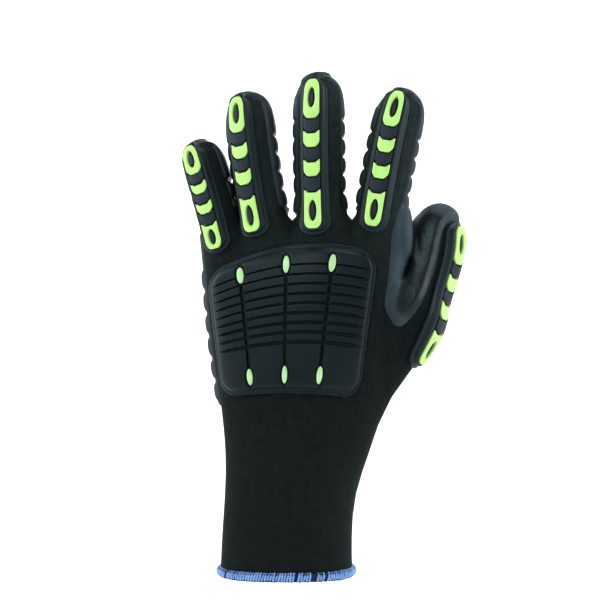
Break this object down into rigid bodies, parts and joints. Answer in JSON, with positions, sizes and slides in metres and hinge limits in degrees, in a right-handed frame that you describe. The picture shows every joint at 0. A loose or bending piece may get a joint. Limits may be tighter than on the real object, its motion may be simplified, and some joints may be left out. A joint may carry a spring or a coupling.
{
  "type": "anti vibration glove",
  "caption": "Left-hand knitted work glove held in its worn shape, with a padded palm coating, rubber guards and back plate with green inlays, and a blue overlocked cuff.",
  "frame": {"origin": "centre of the mouth of the cuff, in the plane of the band's lower edge", "axes": "+Z from the cuff towards the fingertips, -Y the way the back of the hand faces, +X towards the thumb"},
  "size_m": [0.1462, 0.0514, 0.2571],
  "materials": {
    "knit": "black seamless knit, matt",
    "coating": "black dipped coating, satin to wet-looking",
    "guard": "black moulded rubber, satin",
    "plate": "grey-black moulded rubber, satin",
    "inlay": "lime green moulded rubber, satin",
    "plate_inlay": "pale green moulded rubber, satin",
    "overlock": "blue overlock yarn"
  },
  "bodies": {
    "root": {"knit_shell": "knit", "little_inlay_root": "inlay", "little_inlay_low": "inlay", "little_inlay_high": "inlay", "little_inlay_tip": "inlay", "little_guard": "guard", "ring_inlay_root": "inlay", "ring_inlay_low": "inlay", "ring_inlay_high": "inlay", "ring_inlay_tip": "inlay", "ring_guard": "guard", "middle_inlay_root": "inlay", "middle_inlay_low": "inlay", "middle_inlay_high": "inlay", "middle_inlay_tip": "inlay", "middle_guard": "guard", "index_inlay_root": "inlay", "index_inlay_low": "inlay", "index_inlay_high": "inlay", "index_inlay_tip": "inlay", "index_guard": "guard", "thumb_inlay_root": "inlay", "thumb_inlay_low": "inlay", "thumb_inlay_high": "inlay", "thumb_inlay_tip": "inlay", "thumb_guard": "guard", "plate_inlay_top_left": "plate_inlay", "plate_inlay_bottom_left": "plate_inlay", "plate_inlay_top_middle": "plate_inlay", "plate_inlay_bottom_middle": "plate_inlay", "plate_inlay_top_right": "plate_inlay", "plate_inlay_bottom_right": "plate_inlay", "back_plate": "plate", "palm_coating": "coating", "cuff_band": "overlock"}
  },
  "joints": []
}
